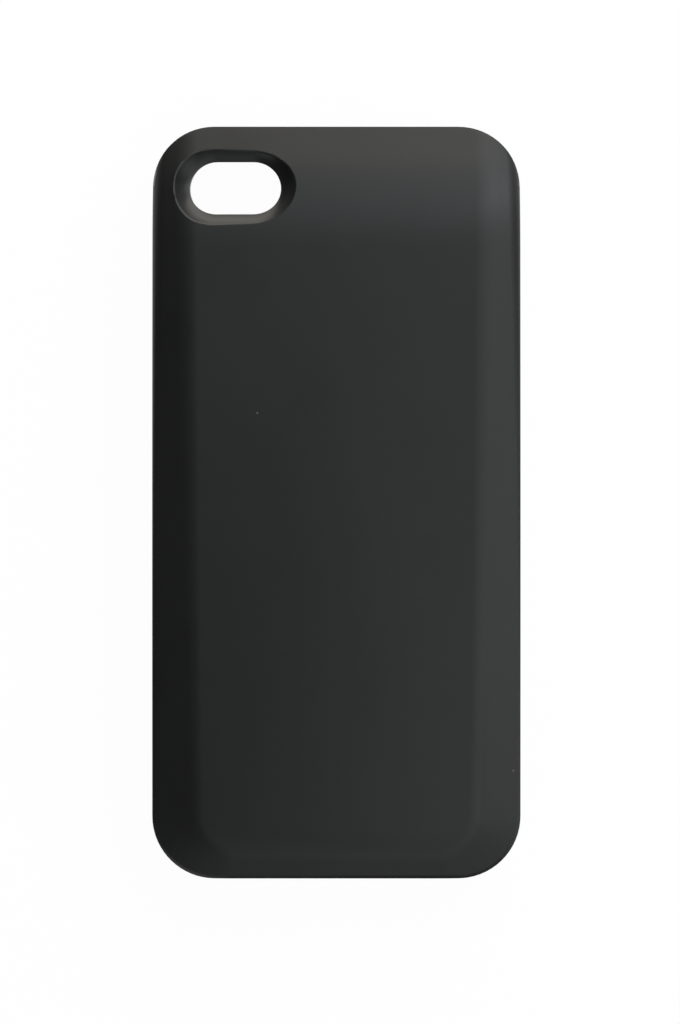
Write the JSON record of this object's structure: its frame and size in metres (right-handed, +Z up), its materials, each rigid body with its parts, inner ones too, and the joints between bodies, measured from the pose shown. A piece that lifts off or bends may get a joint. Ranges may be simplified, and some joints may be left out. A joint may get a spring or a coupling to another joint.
{
  "type": "battery charging case",
  "caption": "Black battery case for a phone: crowned rear cover with camera opening, phone bay with dock plug, pouch cell, charging board, status lights and sliding push button.",
  "frame": {"origin": "middle of the front rim that the case lies on, under the middle of its back", "axes": "+X across the case, +Y along it towards the camera end, +Z up through the back, so the open front faces down"},
  "size_m": [0.0626, 0.128, 0.0168],
  "materials": {
    "soft_touch_black": "matte soft-touch paint with a fine grain",
    "tray_black": "fine moulded texture",
    "button_black": "satin moulded",
    "pouch_foil": "dull laminated foil",
    "white_tape": "matte foam tape",
    "board_green": "solder mask over glass laminate",
    "nickel_strip": "bright rolled nickel",
    "red_insulation": "satin wire insulation",
    "black_insulation": "satin wire insulation",
    "connector_black": "glass-filled connector plastic",
    "plated_steel": "bright nickel-plated sheet",
    "gold_contact": "gold-plated",
    "chip_black": "moulded chip package",
    "ferrite_grey": "pressed ferrite",
    "ceramic_tan": "ceramic with tinned ends",
    "lamp_white": "white lamp package",
    "clear_guide": "clear moulded light guide",
    "black_screw": "black zinc plate"
  },
  "bodies": {
    "case": {"rear_cover": "soft_touch_black", "inner_tray": "tray_black", "battery_cell": "pouch_foil", "battery_tape": "white_tape", "cell_protection_board": "board_green", "cell_tabs": "nickel_strip", "battery_lead_positive": "red_insulation", "battery_lead_negative": "black_insulation", "main_board": "board_green", "dock_plug_housing": "connector_black", "dock_plug_shell": "plated_steel", "dock_plug_tongue": "connector_black", "dock_plug_contacts": "gold_contact", "usb_shell": "plated_steel", "usb_tongue": "connector_black", "usb_contacts": "gold_contact", "switch_body": "chip_black", "status_leds": "lamp_white", "light_guide": "clear_guide", "charge_controller": "chip_black", "boost_converter": "chip_black", "boost_inductor": "ferrite_grey", "capacitors": "ceramic_tan", "tray_screws": "black_screw", "board_screws": "black_screw"},
    "button": {"power_button": "button_black", "switch_plunger": "lamp_white"}
  },
  "joints": [
    {"name": "button_press", "type": "slide", "parent": "case", "child": "button", "axis": [0, 1, 0], "range_m": [0, 0.0004], "stiffness_N_per_m": 1200}
  ]
}
